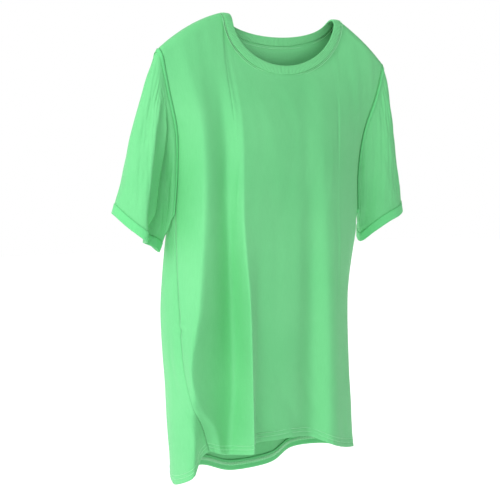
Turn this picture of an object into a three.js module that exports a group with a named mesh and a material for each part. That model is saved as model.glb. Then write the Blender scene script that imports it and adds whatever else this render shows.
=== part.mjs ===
// A short-sleeved, crew-neck patient top in light knit jersey, hanging from its shoulders.
// Millimetres, +Z up. The front faces -Y and the wearer's left is +X. The origin is midway
// between the two points where the shoulder seams meet the neckband, where a hanger holds it.
import * as THREE from 'three';

// ---------------------------------------------------------------- driving dimensions
const CLOTH = 1.6;            // thickness of each cloth solid
const FACING = 0.8;           // thickness of a turned-up hem
const SEAM_GAP = 0.45;        // clearance under a stitch row
const FACING_GAP = 0.8;       // clearance between a panel and its turned-up hem
const BAND_GAP = 0.4;         // clearance between the neckband and its seam
const NECK_HALF_WIDTH = 118;  // neck seam, centre to shoulder seam
const FRONT_NECK_DROP = 93;   // neck seam, shoulder point to front centre
const BACK_NECK_DROP = 47;    // neck seam, shoulder point to back centre
const BAND_WIDTH = 14;        // finished width of the neckband
const BAND_THICKNESS = 2.4;
const BAND_STITCH = [2, 3];   // topstitching, from the neck seam inwards
// Each shoulder falls by slope beside the neck, and by more towards its tip. The wearer's
// left shoulder, at +X, droops a little lower.
const RIGHT_SHOULDER = { slope: 0.25, bend: 0.0027 };
const LEFT_SHOULDER = { slope: 0.49, bend: 0.0013 };
const SHOULDER_TIP_X = 226;   // shoulder seam end, from the centre
const SHOULDER_TIP_Y = 11;    // the tips sit a little behind the neck points
const RIDGE_Y = -2;           // the shoulder line at the neck
const FRONT_NECK_Y = -11;     // the neck edges just below the shoulder line
const BACK_NECK_Y = 10;
const RIDGE_RADIUS = 14;      // how roundly the cloth rolls over the shoulder line
const HEM_FOLD = 18;          // depth of the turned-up body hem
const SLEEVE_HEM_FOLD = 16;   // depth of the turned-up sleeve hem
const STITCH_ROWS = [14, 8];  // twin-needle rows, above the hem edge
const SLEEVE_STITCH = 12;     // stitch row, above the sleeve hem edge
const STITCH_WIDTH = 1.2;
const THREAD_TOP = 0.9;       // how far a stitch row stands proud of the cloth
const SEAM_END = 4;           // what a shoulder seam leaves at each end
const SHOULDER_SINK = 0.4;    // how far a shoulder seam lies under the ridge
const FLARE_LENGTH = 12;      // sleeve length over which it flares from the armhole
const ROW_CROWDING = 1.25;    // how much closer the panel's rows lie at the shoulders
const SEAM_ROD = 0.8;         // half thickness of an overlocked seam
const EDGE_TRIM = 3;          // what a panel leaves for the seam at its side
const NECK_MARGIN = 2.2;      // straight mesh edges stay this far outside the neck seam
const TOP_TRIM = 1.4;         // what a panel leaves for the shoulder seam
const ARMHOLE_CLEAR = 2.6;    // armhole seam, from the panels' edges
const SLEEVE_CLEAR = 7;       // sleeve, from the panels' edges

// How the body panels hang: one line per fold, read from the wearer's right to left.
// Each knot is [height, x, y]; hem is the height where that line ends; bend 1 is a
// smooth fold and 0 a pressed crease. The outer lines run up the side seam, then the armhole.
const ARMPIT = [-314, 187, 26];
const RIGHT_SIDE = [[-314, -187, 26], [-450, -194, 5], [-585, -197, -25], [-612, -193, -33],
  [-640, -172, -25], [-684, -150, -14]];
const LEFT_SIDE = [ARMPIT, [-450, 170, 40], [-585, 160, 46], [-714, 150, 50]];
const FRONT_ARMHOLE = [[-59, 226, 4], [-121, 211, 7], [-182, 191, 15], [-240, 185, 22], ARMPIT];
const BACK_ARMHOLE = [[-59, 226, 18], [-110, 221, 28], [-170, 212, 38], [-240, 203, 46], [-290, 195, 41], ARMPIT];

const FRONT_LINES = [
  { bend: 1.0, hem: -684, armhole: FRONT_ARMHOLE, side: RIGHT_SIDE, sign: -1 },
  { bend: 0.6, hem: -690, knots: [[0, -190, -5], [-60, -187, -5], [-180, -164, -14], [-330, -178, -36],
    [-450, -185, -38], [-585, -193, -36], [-615, -178, -34], [-645, -148, -24], [-690, -134, -21]] },
  { bend: 0.8, hem: -693, knots: [[0, -140, -8], [-60, -138, -9], [-180, -118, -13], [-330, -122, -27],
    [-450, -108, -15], [-585, -107, -18], [-693, -112, -22]] },
  { bend: 1.0, hem: -686, knots: [[0, -100, -8], [-60, -98, -8], [-180, -96, -30], [-330, -112, -56],
    [-450, -104, -60], [-585, -103, -66], [-686, -103, -69]] },
  { bend: 1.0, hem: -675, knots: [[0, -80, -8], [-60, -80, -8], [-180, -76, -32], [-330, -86, -54],
    [-450, -82, -50], [-585, -84, -48], [-675, -86, -47]] },
  { bend: 1.0, hem: -674, knots: [[0, -45, -8], [-60, -45, -8], [-180, -42, -33], [-330, -50, -50],
    [-450, -48, -48], [-585, -46, -46], [-674, -45, -45]] },
  { bend: 1.0, hem: -674, knots: [[0, 10, -8], [-60, 10, -8], [-180, 10, -31], [-330, 2, -48],
    [-450, 2, -46], [-585, 1, -42], [-674, 0, -40]] },
  { bend: 1.0, hem: -680, knots: [[0, 40, -8], [-60, 40, -8], [-180, 34, -29], [-330, 30, -44],
    [-450, 36, -38], [-585, 40, -32], [-680, 44, -28]] },
  { bend: 0.9, hem: -692, knots: [[0, 72, -8], [-60, 72, -8], [-180, 64, -31], [-330, 58, -50],
    [-450, 62, -50], [-585, 66, -48], [-692, 70, -45]] },
  { bend: 1.0, hem: -705, knots: [[0, 140, -8], [-60, 138, -8], [-180, 124, -18], [-330, 106, -36],
    [-450, 104, -33], [-585, 110, -30], [-705, 116, -26]] },
  { bend: 1.0, hem: -712, knots: [[0, 188, -5], [-60, 186, -5], [-180, 163, -2], [-330, 149, -8],
    [-450, 141, -4], [-585, 148, 0], [-712, 160, 4]] },
  { bend: 1.0, hem: -714, armhole: FRONT_ARMHOLE, side: LEFT_SIDE, sign: 1 },
];
const BACK_LINES = [
  { bend: 1.0, hem: -684, armhole: BACK_ARMHOLE, side: RIGHT_SIDE, sign: -1 },
  { bend: 1.0, hem: -694, knots: [[0, -214, 22], [-60, -212, 22], [-180, -204, 42], [-330, -188, 32],
    [-450, -198, 15], [-585, -200, -10], [-615, -196, -27], [-645, -186, -33], [-694, -168, -16]] },
  { bend: 1.0, hem: -715, knots: [[0, -200, 21], [-60, -200, 21], [-180, -194, 44], [-330, -189, 38],
    [-450, -199, 25], [-585, -201, 2], [-615, -200, -14], [-645, -196, -32], [-715, -194, -37]] },
  { bend: 1.0, hem: -735, knots: [[0, -182, 20], [-60, -182, 20], [-180, -180, 45], [-330, -188, 46],
    [-450, -199, 38], [-585, -201, 20], [-735, -197, 8]] },
  { bend: 1.0, hem: -728, knots: [[0, -160, 18], [-60, -160, 18], [-180, -155, 45], [-330, -179, 57],
    [-450, -193, 58], [-585, -189, 53], [-728, -182, 48]] },
  { bend: 1.0, hem: -722, knots: [[0, -105, 12], [-60, -105, 12], [-180, -105, 42], [-330, -115, 64],
    [-450, -120, 68], [-585, -120, 66], [-722, -115, 64]] },
  { bend: 1.0, hem: -741, knots: [[0, -35, 12], [-60, -35, 12], [-180, -35, 40], [-330, -40, 66],
    [-450, -40, 72], [-585, -40, 74], [-741, -40, 76]] },
  { bend: 1.0, hem: -732, knots: [[0, 20, 12], [-60, 20, 12], [-180, 20, 38], [-330, 20, 58],
    [-450, 20, 60], [-585, 20, 56], [-732, 20, 54]] },
  { bend: 1.0, hem: -716, knots: [[0, 85, 12], [-60, 85, 12], [-180, 85, 42], [-330, 82, 66],
    [-450, 80, 70], [-585, 80, 72], [-716, 80, 74]] },
  { bend: 1.0, hem: -712, knots: [[0, 160, 18], [-60, 160, 18], [-180, 155, 44], [-330, 142, 58],
    [-450, 138, 62], [-585, 132, 62], [-712, 125, 62]] },
  { bend: 1.0, hem: -714, armhole: BACK_ARMHOLE, side: LEFT_SIDE, sign: 1 },
];

// The sleeve hems, one point per fold line from the underarm round the front, over the
// top and down the back: at is the height where that line starts on the armhole, and fold
// is the part of its place that the deep front fold makes.
const RIGHT_CUFF = [
  { at: -314, hem: [207, 43, -373] },
  { at: -215, hem: [216, 38, -366], fold: [-10, 12, 0] },
  { at: -135, hem: [234, 42, -358], fold: [-16, 32, 0] },
  { at: -108, hem: [262, -5, -352], fold: [2, -12, 0] },
  { at: -86, hem: [281, 14, -332] },
  { at: -59, hem: [285, 50, -312] },
  { at: -125, hem: [262, 78, -318] },
  { at: -205, hem: [232, 74, -340] },
];
const LEFT_CUFF = [
  { at: -314, hem: [211, 43, -369] },
  { at: -230, hem: [220, 18, -352] },
  { at: -160, hem: [242, 6, -335] },
  { at: -108, hem: [264, 7, -326] },
  { at: -80, hem: [281, 18, -318] },
  { at: -68, hem: [288, 44, -311] },
  { at: -125, hem: [264, 76, -332] },
  { at: -205, hem: [230, 74, -354] },
];
const TOP_LINE = 5;         // the fold line that starts at the shoulder tip
const FOLD_RISE = 0.5;      // how far down the sleeve its front fold is fully deep
const SLEEVE_FLARE = 6;    // how squarely the sleeve leaves the armhole
const SWELL_LIFT = 0.35;      // how much of the sleeve's swell goes upwards
const SLEEVE_SWELL = 5;    // how far the sleeve head stands out beyond a straight line

// Mesh steps: enough for the true outer shape, no more.
const SHOULDER_STEPS = 6;
const NECK_STEPS = 14;
const ROW_STEPS = 16;
const CUFF_STEPS = 26;
const SLEEVE_STEPS = 8;
const BAND_STEPS = 44;
const SEAM_STEPS = 14;

// ---------------------------------------------------------------- curves
const lerp = (a, b, t) => a + (b - a) * t;
const clamp = (v, lo, hi) => Math.min(hi, Math.max(lo, v));
const smooth = (v, lo, hi) => THREE.MathUtils.smoothstep(v, lo, hi);
const steps = (count, f) => Array.from({ length: count + 1 }, (_, i) => f(i / count));

// Cubic between two values, from their slopes over the whole span.
function hermite(a, ta, b, tb, f) {
  const g = f * f;
  const h = g * f;
  return a * (2 * h - 3 * g + 1) + ta * (h - 2 * g + f) + b * (3 * g - 2 * h) + tb * (h - g);
}

// A cubic through points at given places, each with its own bend: the slope at a point is
// the mean of the slopes beside it, weighted by the other span, times the bend.
function through(places, points, bends, at) {
  const last = places.length - 1;
  const where = clamp(at, places[0], places[last]);
  let k = 0;
  while (k < last - 1 && where > places[k + 1]) k += 1;
  const slope = (i, c) => (points[i + 1][c] - points[i][c]) / (places[i + 1] - places[i]);
  const tangent = (i, c) => {
    if (i === 0) return slope(0, c) * bends[0];
    if (i === last) return slope(last - 1, c) * bends[last];
    const before = places[i] - places[i - 1];
    const after = places[i + 1] - places[i];
    return bends[i] * (slope(i - 1, c) * after + slope(i, c) * before) / (before + after);
  };
  const span = places[k + 1] - places[k];
  const f = (where - places[k]) / span;
  return points[0].map((_, c) => hermite(
    points[k][c], tangent(k, c) * span, points[k + 1][c], tangent(k + 1, c) * span, f));
}

// The x and y of a line of knots at height z.
function along(knots, z) {
  const rising = [...knots].reverse();
  return through(rising.map((k) => k[0]), rising.map((k) => k.slice(1)), rising.map(() => 1), z);
}

// The x and y of a fold line, or of a panel's outer edge: armhole above, side seam below.
function lineAt(line, z) {
  if (line.knots) return along(line.knots, z);
  if (z < ARMPIT[0]) return along(line.side, z);
  const [x, y] = along(line.armhole, z);
  return [line.sign * x, y];
}

// ---------------------------------------------------------------- body panels
const REFERENCE_HEIGHTS = [-120, -330, -450, -585, -680];
const distance = (a, b) => Math.hypot(b[0] - a[0], b[1] - a[1]);

// Places of the fold lines across a panel, as shares of its mean girth.
function linePlaces(lines) {
  const gaps = lines.slice(1).map((line, i) => {
    const each = REFERENCE_HEIGHTS.map((z) => distance(lineAt(lines[i], z), lineAt(line, z)));
    return each.reduce((a, b) => a + b) / each.length;
  });
  const girth = gaps.reduce((a, b) => a + b);
  const places = [0];
  gaps.forEach((gap) => places.push(places[places.length - 1] + gap / girth));
  return places;
}

const shoulderHeight = (x) => {
  const out = Math.max(0, Math.abs(x) - NECK_HALF_WIDTH);
  const { slope, bend } = x < 0 ? RIGHT_SHOULDER : LEFT_SHOULDER;
  return -slope * out - bend * out * out;
};
const ridgeY = (x) => {
  const share = clamp((Math.abs(x) - NECK_HALF_WIDTH) / (SHOULDER_TIP_X - NECK_HALF_WIDTH), 0, 1);
  return lerp(RIDGE_Y, SHOULDER_TIP_Y, share);
};
const roundOver = (below) => Math.sqrt(1 - (1 - clamp(below / RIDGE_RADIUS, 0, 1)) ** 2);

class Panel {
  constructor(lines, neckDrop) {
    this.lines = lines;
    this.neckDrop = neckDrop;
    this.places = linePlaces(lines);
    this.bends = lines.map((line) => line.bend);
    this.twin = this;
  }

  hem(s) {
    return through(this.places, this.lines.map((line) => [line.hem]), this.bends, s)[0];
  }

  // The line beside an edge, carried on past it: the other panel's first line below the
  // armpit, so that the cloth runs smoothly round the seam, and straight on above it.
  beyond(edge, inner, twinLine, z) {
    const joined = 1 - smooth(z, ARMPIT[0] - 40, ARMPIT[0]);
    const other = lineAt(twinLine, z);
    return edge.map((v, c) => lerp(2 * v - inner[c], other[c], joined));
  }

  // The cloth at place s and height z, rolled over the shoulder line near the top.
  at(s, z) {
    const row = this.lines.map((line) => lineAt(line, z));
    const last = row.length - 1;
    const { lines } = this.twin;
    const first = this.beyond(row[0], row[1], lines[1], z);
    const end = this.beyond(row[last], row[last - 1], lines[lines.length - 2], z);
    const lead = this.places[1];
    const tail = 1 - this.places[last - 1];
    const [x, y] = through(
      [-lead, ...this.places, 1 + tail], [first, ...row, end], [1, ...this.bends, 1], s);
    return new THREE.Vector3(x, lerp(ridgeY(x), y, roundOver(shoulderHeight(x) - z)), z);
  }

  // Height of the upper edge at place s: the shoulder line, or the neck seam inside it.
  top(s) {
    let z = -20;
    for (let round = 0; round < 6; round += 1) {
      const { x } = this.at(s, z);
      const share = Math.abs(x) / (NECK_HALF_WIDTH + NECK_MARGIN);
      z = share < 1 ? -(this.neckDrop + NECK_MARGIN) * Math.sqrt(1 - share * share) : shoulderHeight(x);
    }
    return z;
  }

  // The place whose top is at x on the shoulder line.
  placeOf(x) {
    let low = 0;
    let high = 1;
    for (let round = 0; round < 40; round += 1) {
      const mid = (low + high) / 2;
      if (this.at(mid, shoulderHeight(x)).x < x) low = mid;
      else high = mid;
    }
    return (low + high) / 2;
  }

  // Places of the mesh columns, closer together at the neck points.
  columns() {
    const right = this.placeOf(-NECK_HALF_WIDTH - NECK_MARGIN);
    const left = this.placeOf(NECK_HALF_WIDTH + NECK_MARGIN);
    const neck = steps(NECK_STEPS, (t) => lerp(right, left, (1 - Math.cos(Math.PI * t)) / 2));
    return [
      ...steps(SHOULDER_STEPS, (t) => lerp(0, right, t)).slice(0, -1),
      ...neck,
      ...steps(SHOULDER_STEPS, (t) => lerp(left, 1, t)).slice(1),
    ];
  }

  // Points along the panel at heights given for each place, ending trim short of its edges.
  row(heightAt, trim) {
    return this.columns().map((s) => {
      const z = heightAt(s);
      const edge = s < 0.5 ? 0 : 1;
      const nearby = edge === 0 ? 0.01 : 0.99;
      const share = 0.01 * trim / this.at(edge, z).distanceTo(this.at(nearby, z));
      return this.at(clamp(s, share, 1 - share), z);
    });
  }
}

const FRONT = new Panel(FRONT_LINES, FRONT_NECK_DROP);
const BACK = new Panel(BACK_LINES, BACK_NECK_DROP);
FRONT.twin = BACK;
BACK.twin = FRONT;

// ---------------------------------------------------------------- solids from grids
function solid(points, faces) {
  const geometry = new THREE.BufferGeometry();
  geometry.setAttribute('position', new THREE.Float32BufferAttribute(points.flatMap((p) => p.toArray()), 3));
  geometry.setIndex(faces.flat());
  geometry.computeVertexNormals();
  return geometry;
}

// Unit normals of a grid of points, from the differences along its rows and columns.
function gridNormals(grid, closed) {
  const top = grid.length - 1;
  const count = grid[0].length;
  return grid.map((row, j) => row.map((_, i) => {
    const before = closed ? (i + count - 1) % count : Math.max(0, i - 1);
    const after = closed ? (i + 1) % count : Math.min(count - 1, i + 1);
    const u = row[after].clone().sub(row[before]);
    const v = grid[Math.min(top, j + 1)][i].clone().sub(grid[Math.max(0, j - 1)][i]);
    return u.cross(v).normalize();
  }));
}

// A cloth solid between two offsets of a grid, measured outwards: facing is 1 where the
// grid's normals point outwards and -1 where they point in. closed joins its ends.
function cloth(grid, outer, inner, facing, closed = false) {
  const normals = gridNormals(grid, closed);
  const rows = grid.length;
  const count = grid[0].length;
  const layer = (offset) => grid.flatMap((row, j) => row.map((p, i) =>
    p.clone().addScaledVector(normals[j][i], facing * offset)));
  const points = [...layer(outer), ...layer(inner)];
  const under = rows * count;
  const faces = [];
  const quad = (a, b, c, d) => {
    if (facing > 0) faces.push([a, b, c], [a, c, d]);
    else faces.push([a, c, b], [a, d, c]);
  };
  const spans = closed ? count : count - 1;
  for (let i = 0; i < spans; i += 1) {
    const next = (i + 1) % count;
    for (let j = 0; j < rows - 1; j += 1) {
      const a = j * count + i;
      const b = j * count + next;
      const c = b + count;
      const d = a + count;
      quad(a, b, c, d);
      quad(under + d, under + c, under + b, under + a);
    }
    const end = (rows - 1) * count;
    quad(under + i, under + next, next, i);
    quad(end + i, end + next, under + end + next, under + end + i);
  }
  if (!closed) {
    for (let j = 0; j < rows - 1; j += 1) {
      const a = j * count;
      const b = a + count;
      quad(a, b, under + b, under + a);
      quad(under + b - 1, under + b + count - 1, b + count - 1, b - 1);
    }
  }
  return solid(points, faces);
}

// A rod of oblong section along a line of points: its width lies along sideways.
function rod(line, sideways, halfWidth, halfHeight, ring = false) {
  const count = line.length;
  const points = line.flatMap((p, i) => {
    const next = line[ring ? (i + 1) % count : Math.min(count - 1, i + 1)];
    const last = line[ring ? (i + count - 1) % count : Math.max(0, i - 1)];
    const forward = next.clone().sub(last).normalize();
    const side = sideways.clone();
    side.addScaledVector(forward, -side.dot(forward)).normalize();
    const up = forward.clone().cross(side);
    return [[1, 1], [-1, 1], [-1, -1], [1, -1]].map(([a, b]) =>
      p.clone().addScaledVector(side, a * halfWidth).addScaledVector(up, b * halfHeight));
  });
  const faces = [];
  for (let i = 0; i < (ring ? count : count - 1); i += 1) {
    const a = i * 4;
    const b = ((i + 1) % count) * 4;
    for (let k = 0; k < 4; k += 1) {
      const m = (k + 1) % 4;
      faces.push([a + k, a + m, b + m], [a + k, b + m, b + k]);
    }
  }
  if (!ring) {
    const end = (count - 1) * 4;
    faces.push([0, 2, 1], [0, 3, 2], [end, end + 1, end + 2], [end, end + 2, end + 3]);
  }
  return solid(points, faces);
}

// ---------------------------------------------------------------- materials
const JERSEY = new THREE.Color(0.13, 0.58, 0.22);
const jersey = () => new THREE.MeshStandardMaterial({ color: JERSEY, roughness: 0.72, metalness: 0 });
const thread = () => new THREE.MeshStandardMaterial({ color: JERSEY, roughness: 0.55, metalness: 0 });

const garment = new THREE.Group();

function add(name, geometry, material) {
  const mesh = new THREE.Mesh(geometry, material);
  mesh.name = name;
  garment.add(mesh);
}

// ---------------------------------------------------------------- front and back
const PANELS = { front: { panel: FRONT, facing: 1 }, back: { panel: BACK, facing: -1 } };
const UNDER_CLOTH = -CLOTH - FACING_GAP;
const FOLD_TOP = HEM_FOLD + 2;
const between = ([low, high], t) => low.map((p, i) => p.clone().lerp(high[i], t));

Object.entries(PANELS).forEach(([name, { panel, facing }]) => {
  const body = steps(ROW_STEPS, (t) => panel.row(
    (s) => lerp(panel.hem(s) + FOLD_TOP, panel.top(s) - TOP_TRIM, 1 - (1 - t) ** ROW_CROWDING), EDGE_TRIM));
  const hem = [panel.row((s) => panel.hem(s), EDGE_TRIM), body[0]];
  add(`${name}_panel`, cloth([hem[0], ...body], 0, -CLOTH, facing), jersey());

  const fold = [1, HEM_FOLD].map((height) => between(hem, height / FOLD_TOP));
  add(`${name}_hem_facing`, cloth(fold, UNDER_CLOTH, UNDER_CLOTH - FACING, facing), jersey());

  STITCH_ROWS.forEach((height, row) => {
    const line = [height, height + STITCH_WIDTH].map((level) => between(hem, level / FOLD_TOP));
    add(`${name}_hem_stitch_${row + 1}`, cloth(line, THREAD_TOP, SEAM_GAP, facing), thread());
  });
});

// ---------------------------------------------------------------- seams of the body
function sideSeam(place, sign) {
  const line = steps(SEAM_STEPS, (t) =>
    FRONT.at(place, lerp(FRONT.hem(place) + 1, ARMPIT[0] - 6, t)));
  return rod(line, new THREE.Vector3(sign, 0, 0), SEAM_ROD, SEAM_ROD);
}
add('right_side_seam', sideSeam(0, -1), thread());
add('left_side_seam', sideSeam(1, 1), thread());

function shoulderSeam(sign) {
  const line = steps(6, (t) => {
    const x = sign * lerp(NECK_HALF_WIDTH + SEAM_END, SHOULDER_TIP_X - SEAM_END, t);
    return new THREE.Vector3(x, ridgeY(x), shoulderHeight(x) - SHOULDER_SINK);
  });
  return rod(line, new THREE.Vector3(0, 1, 0), SEAM_ROD, 0.6);
}
add('right_shoulder_seam', shoulderSeam(-1), thread());
add('left_shoulder_seam', shoulderSeam(1), thread());

// ---------------------------------------------------------------- neckband
// The neck seam as a ring, drawn in by inset: turn 0 is the left shoulder point, a
// quarter turn is the front centre and three quarters is the back centre.
function neckPoint(turn, inset) {
  const angle = 2 * Math.PI * turn;
  const isFront = Math.sin(angle) > 0;
  const drop = isFront ? FRONT_NECK_DROP : BACK_NECK_DROP;
  const x = (NECK_HALF_WIDTH - inset) * Math.cos(angle);
  const z = -(drop - inset) * Math.abs(Math.sin(angle));
  return new THREE.Vector3(x, lerp(RIDGE_Y, isFront ? FRONT_NECK_Y : BACK_NECK_Y, roundOver(-z)), z);
}
const neckRing = (insets) => insets.map((inset) =>
  steps(BAND_STEPS, (t) => neckPoint(t, inset)).slice(0, -1));

add('neckband', cloth(neckRing([BAND_GAP, BAND_WIDTH]), 0, -BAND_THICKNESS, -1, true), jersey());
add('neckband_stitch', cloth(neckRing(BAND_STITCH), THREAD_TOP, SEAM_GAP, -1, true), thread());

// ---------------------------------------------------------------- sleeves
class Sleeve {
  constructor(cuffs, sign) {
    this.sign = sign;
    this.heights = new THREE.SplineCurve([...cuffs, cuffs[0]].map((cuff, i) => new THREE.Vector2(i, cuff.at)));
    this.topTurn = TOP_LINE / cuffs.length;
    this.tip = cuffs[TOP_LINE].at;
    const ends = cuffs.map(({ hem: [x, y, z] }) => new THREE.Vector3(sign * x, y, z));
    const plain = cuffs.map(({ fold = [0, 0, 0] }, i) =>
      ends[i].clone().sub(new THREE.Vector3(sign * fold[0], fold[1], fold[2])));
    this.end = new THREE.CatmullRomCurve3(ends, true, 'centripetal');
    this.plain = new THREE.CatmullRomCurve3(plain, true, 'centripetal');
  }

  // The armhole at a turn: the front edge up to the shoulder tip, then the back edge down.
  armhole(turn) {
    const z = clamp(this.heights.getPoint(turn).y, ARMPIT[0], this.tip);
    const [x, y] = along(turn < this.topTurn ? FRONT_ARMHOLE : BACK_ARMHOLE, z);
    const ridge = lerp(SHOULDER_TIP_Y, y, roundOver(this.tip - z));
    return new THREE.Vector3(this.sign * x, ridge, z);
  }

  // The cloth at a turn round from the underarm, and t from the armhole to the hem edge.
  at(turn, t) {
    const swell = SLEEVE_SWELL * Math.sin(Math.PI * turn) ** 2 * 6.75 * t * (1 - t) ** 2;
    const flare = SLEEVE_FLARE * smooth(t * this.length(turn), 0, FLARE_LENGTH) * (1 - t);
    const plain = this.plain.getPoint(turn);
    const fold = this.end.getPoint(turn).sub(plain).multiplyScalar(smooth(t, 0, FOLD_RISE));
    return this.armhole(turn).lerp(plain, t).add(fold)
      .add(new THREE.Vector3(this.sign * (swell + flare), 0, SWELL_LIFT * swell));
  }

  length(turn) {
    return this.armhole(turn).distanceTo(this.end.getPoint(turn));
  }

  // A ring a distance below the armhole, or above the hem where that is negative.
  ring(turnDistance) {
    return steps(CUFF_STEPS, (turn) => {
      const share = turnDistance / this.length(turn);
      return this.at(turn, turnDistance < 0 ? 1 + share : share);
    }).slice(0, -1);
  }

  grid(rows) {
    return steps(rows, (v) => steps(CUFF_STEPS, (turn) =>
      this.at(turn, lerp(SLEEVE_CLEAR / this.length(turn), 1, v))).slice(0, -1));
  }
}

Object.entries({ right: [RIGHT_CUFF, -1], left: [LEFT_CUFF, 1] }).forEach(([side, [cuffs, sign]]) => {
  const sleeve = new Sleeve(cuffs, sign);
  const facing = sign;
  add(`${side}_sleeve`, cloth(sleeve.grid(SLEEVE_STEPS), 0, -CLOTH, facing, true), jersey());

  const fold = [sleeve.ring(-SLEEVE_HEM_FOLD), sleeve.ring(-1)];
  add(`${side}_sleeve_hem_facing`, cloth(fold, UNDER_CLOTH, UNDER_CLOTH - FACING, facing, true), jersey());

  const row = [sleeve.ring(-SLEEVE_STITCH - STITCH_WIDTH), sleeve.ring(-SLEEVE_STITCH)];
  add(`${side}_sleeve_hem_stitch`, cloth(row, THREAD_TOP, SEAM_GAP, facing, true), thread());

  const armhole = steps(CUFF_STEPS, (turn) => sleeve.at(turn, ARMHOLE_CLEAR / sleeve.length(turn))).slice(0, -1);
  add(`${side}_armhole_seam`, rod(armhole, new THREE.Vector3(1, 0, 0), SEAM_ROD, SEAM_ROD, true), thread());
});

export default garment;
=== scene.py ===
# %% [markdown]
# # A patient top in light green knit, hanging from its shoulders
# The top is sewn from flat pieces of jersey: a front, a back, two sleeves and a ribbed
# neckband. Hung up by its shoulders, the loose cloth falls into a few long folds. This
# notebook makes each piece as a surface worked out with numpy, in the same frame as the
# CAD model: metres, +Z up, the front facing -Y and the wearer's left at +X.

import bpy
import numpy as np
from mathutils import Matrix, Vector


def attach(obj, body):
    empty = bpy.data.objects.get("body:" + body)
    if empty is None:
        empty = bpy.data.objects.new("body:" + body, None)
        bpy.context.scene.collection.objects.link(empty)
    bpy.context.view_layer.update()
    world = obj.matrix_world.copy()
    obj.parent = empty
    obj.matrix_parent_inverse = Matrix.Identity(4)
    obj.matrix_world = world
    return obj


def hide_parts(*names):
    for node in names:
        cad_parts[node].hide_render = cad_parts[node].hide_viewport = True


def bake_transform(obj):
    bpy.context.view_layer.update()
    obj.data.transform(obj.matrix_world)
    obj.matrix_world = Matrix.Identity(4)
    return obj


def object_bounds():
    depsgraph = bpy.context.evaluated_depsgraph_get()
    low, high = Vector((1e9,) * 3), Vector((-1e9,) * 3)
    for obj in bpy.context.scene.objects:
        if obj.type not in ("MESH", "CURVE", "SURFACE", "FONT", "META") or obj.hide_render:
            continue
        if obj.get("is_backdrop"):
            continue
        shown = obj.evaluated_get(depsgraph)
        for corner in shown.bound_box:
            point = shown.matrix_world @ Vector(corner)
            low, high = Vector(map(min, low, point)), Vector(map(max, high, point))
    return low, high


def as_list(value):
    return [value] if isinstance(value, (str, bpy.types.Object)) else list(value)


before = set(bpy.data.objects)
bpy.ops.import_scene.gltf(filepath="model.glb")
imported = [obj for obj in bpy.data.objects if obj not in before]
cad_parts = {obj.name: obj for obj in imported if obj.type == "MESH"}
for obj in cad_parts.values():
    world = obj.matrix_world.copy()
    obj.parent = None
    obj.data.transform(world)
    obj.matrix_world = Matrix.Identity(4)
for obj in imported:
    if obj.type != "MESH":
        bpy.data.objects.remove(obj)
cad_low, cad_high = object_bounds()
MM = 0.001
print("CAD box, mm:", [round(v / MM) for v in cad_low], [round(v / MM) for v in cad_high])

# %% [markdown]
# ## Fold lines
# A hanging top is easiest to describe by its folds. Each line below runs down one fold
# and has a knot, (height, x, y), wherever it changes course. The line's bend says how
# sharply the cloth turns over it: 1 is a soft roll and 0 a pressed crease. Millimetres
# read more easily here than metres, so the shapes turn into metres only in their meshes.
# A drape could be simulated instead, but then its folds fall where they like.

# %% The edges of the panels
ARMPIT = (-314, 187, 26)
RIGHT_SIDE = [(-314, -187, 26), (-450, -194, 5), (-585, -197, -25), (-612, -193, -33),
              (-640, -172, -25), (-684, -150, -14)]
LEFT_SIDE = [ARMPIT, (-450, 170, 40), (-585, 160, 46), (-714, 150, 50)]
FRONT_ARMHOLE = [(-59, 226, 4), (-121, 211, 7), (-182, 191, 15), (-240, 185, 22), ARMPIT]
BACK_ARMHOLE = [
    (-59, 226, 18), (-110, 221, 28), (-170, 212, 38), (-240, 203, 46), (-290, 195, 41), ARMPIT,
]
HEIGHTS = (0, -60, -180, -330, -450, -585)


def fold(bend, hem, *places, extra=()):
    """A fold line: places are its x and y at each of HEIGHTS, then at its hem. extra holds
    whole knots where its course changes between two of the heights."""
    knots = [(z, *p) for z, p in zip((*HEIGHTS, hem), places)]
    return {"bend": bend, "hem": hem, "knots": sorted([*knots, *extra], reverse=True)}


def edge(hem, armhole, side, sign):
    """The edge of a panel: armhole above the armpit, side seam below it."""
    return {"bend": 1.0, "hem": hem, "armhole": armhole, "side": side, "sign": sign}


# %% The folds of the front and the back
FRONT_LINES = [
    edge(-684, FRONT_ARMHOLE, RIGHT_SIDE, -1),
    fold(0.6, -690, (-190, -5), (-187, -5), (-164, -14), (-178, -36), (-185, -38), (-193, -36),
         (-134, -21), extra=[(-615, -178, -34), (-645, -148, -24)]),
    fold(0.8, -693, (-140, -8), (-138, -9), (-118, -13), (-122, -27), (-108, -15), (-107, -18), (-112, -22)),
    fold(0.5, -686, (-100, -8), (-98, -8), (-96, -30), (-112, -56), (-104, -60), (-103, -66), (-103, -69)),
    fold(0.7, -675, (-80, -8), (-80, -8), (-76, -32), (-86, -54), (-82, -50), (-84, -48), (-86, -47)),
    fold(1.0, -674, (-45, -8), (-45, -8), (-42, -33), (-50, -50), (-48, -48), (-46, -46), (-45, -45)),
    fold(1.0, -674, (10, -8), (10, -8), (10, -31), (2, -48), (2, -46), (1, -42), (0, -40)),
    fold(1.0, -680, (40, -8), (40, -8), (34, -29), (30, -44), (36, -38), (40, -32), (44, -28)),
    fold(0.9, -692, (72, -8), (72, -8), (64, -31), (58, -50), (62, -50), (66, -48), (70, -45)),
    fold(1.0, -705, (140, -8), (138, -8), (124, -18), (106, -36), (104, -33), (110, -30), (116, -26)),
    fold(1.0, -712, (188, -5), (186, -5), (163, -2), (149, -8), (141, -4), (148, 0), (160, 4)),
    edge(-714, FRONT_ARMHOLE, LEFT_SIDE, 1),
]
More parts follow.
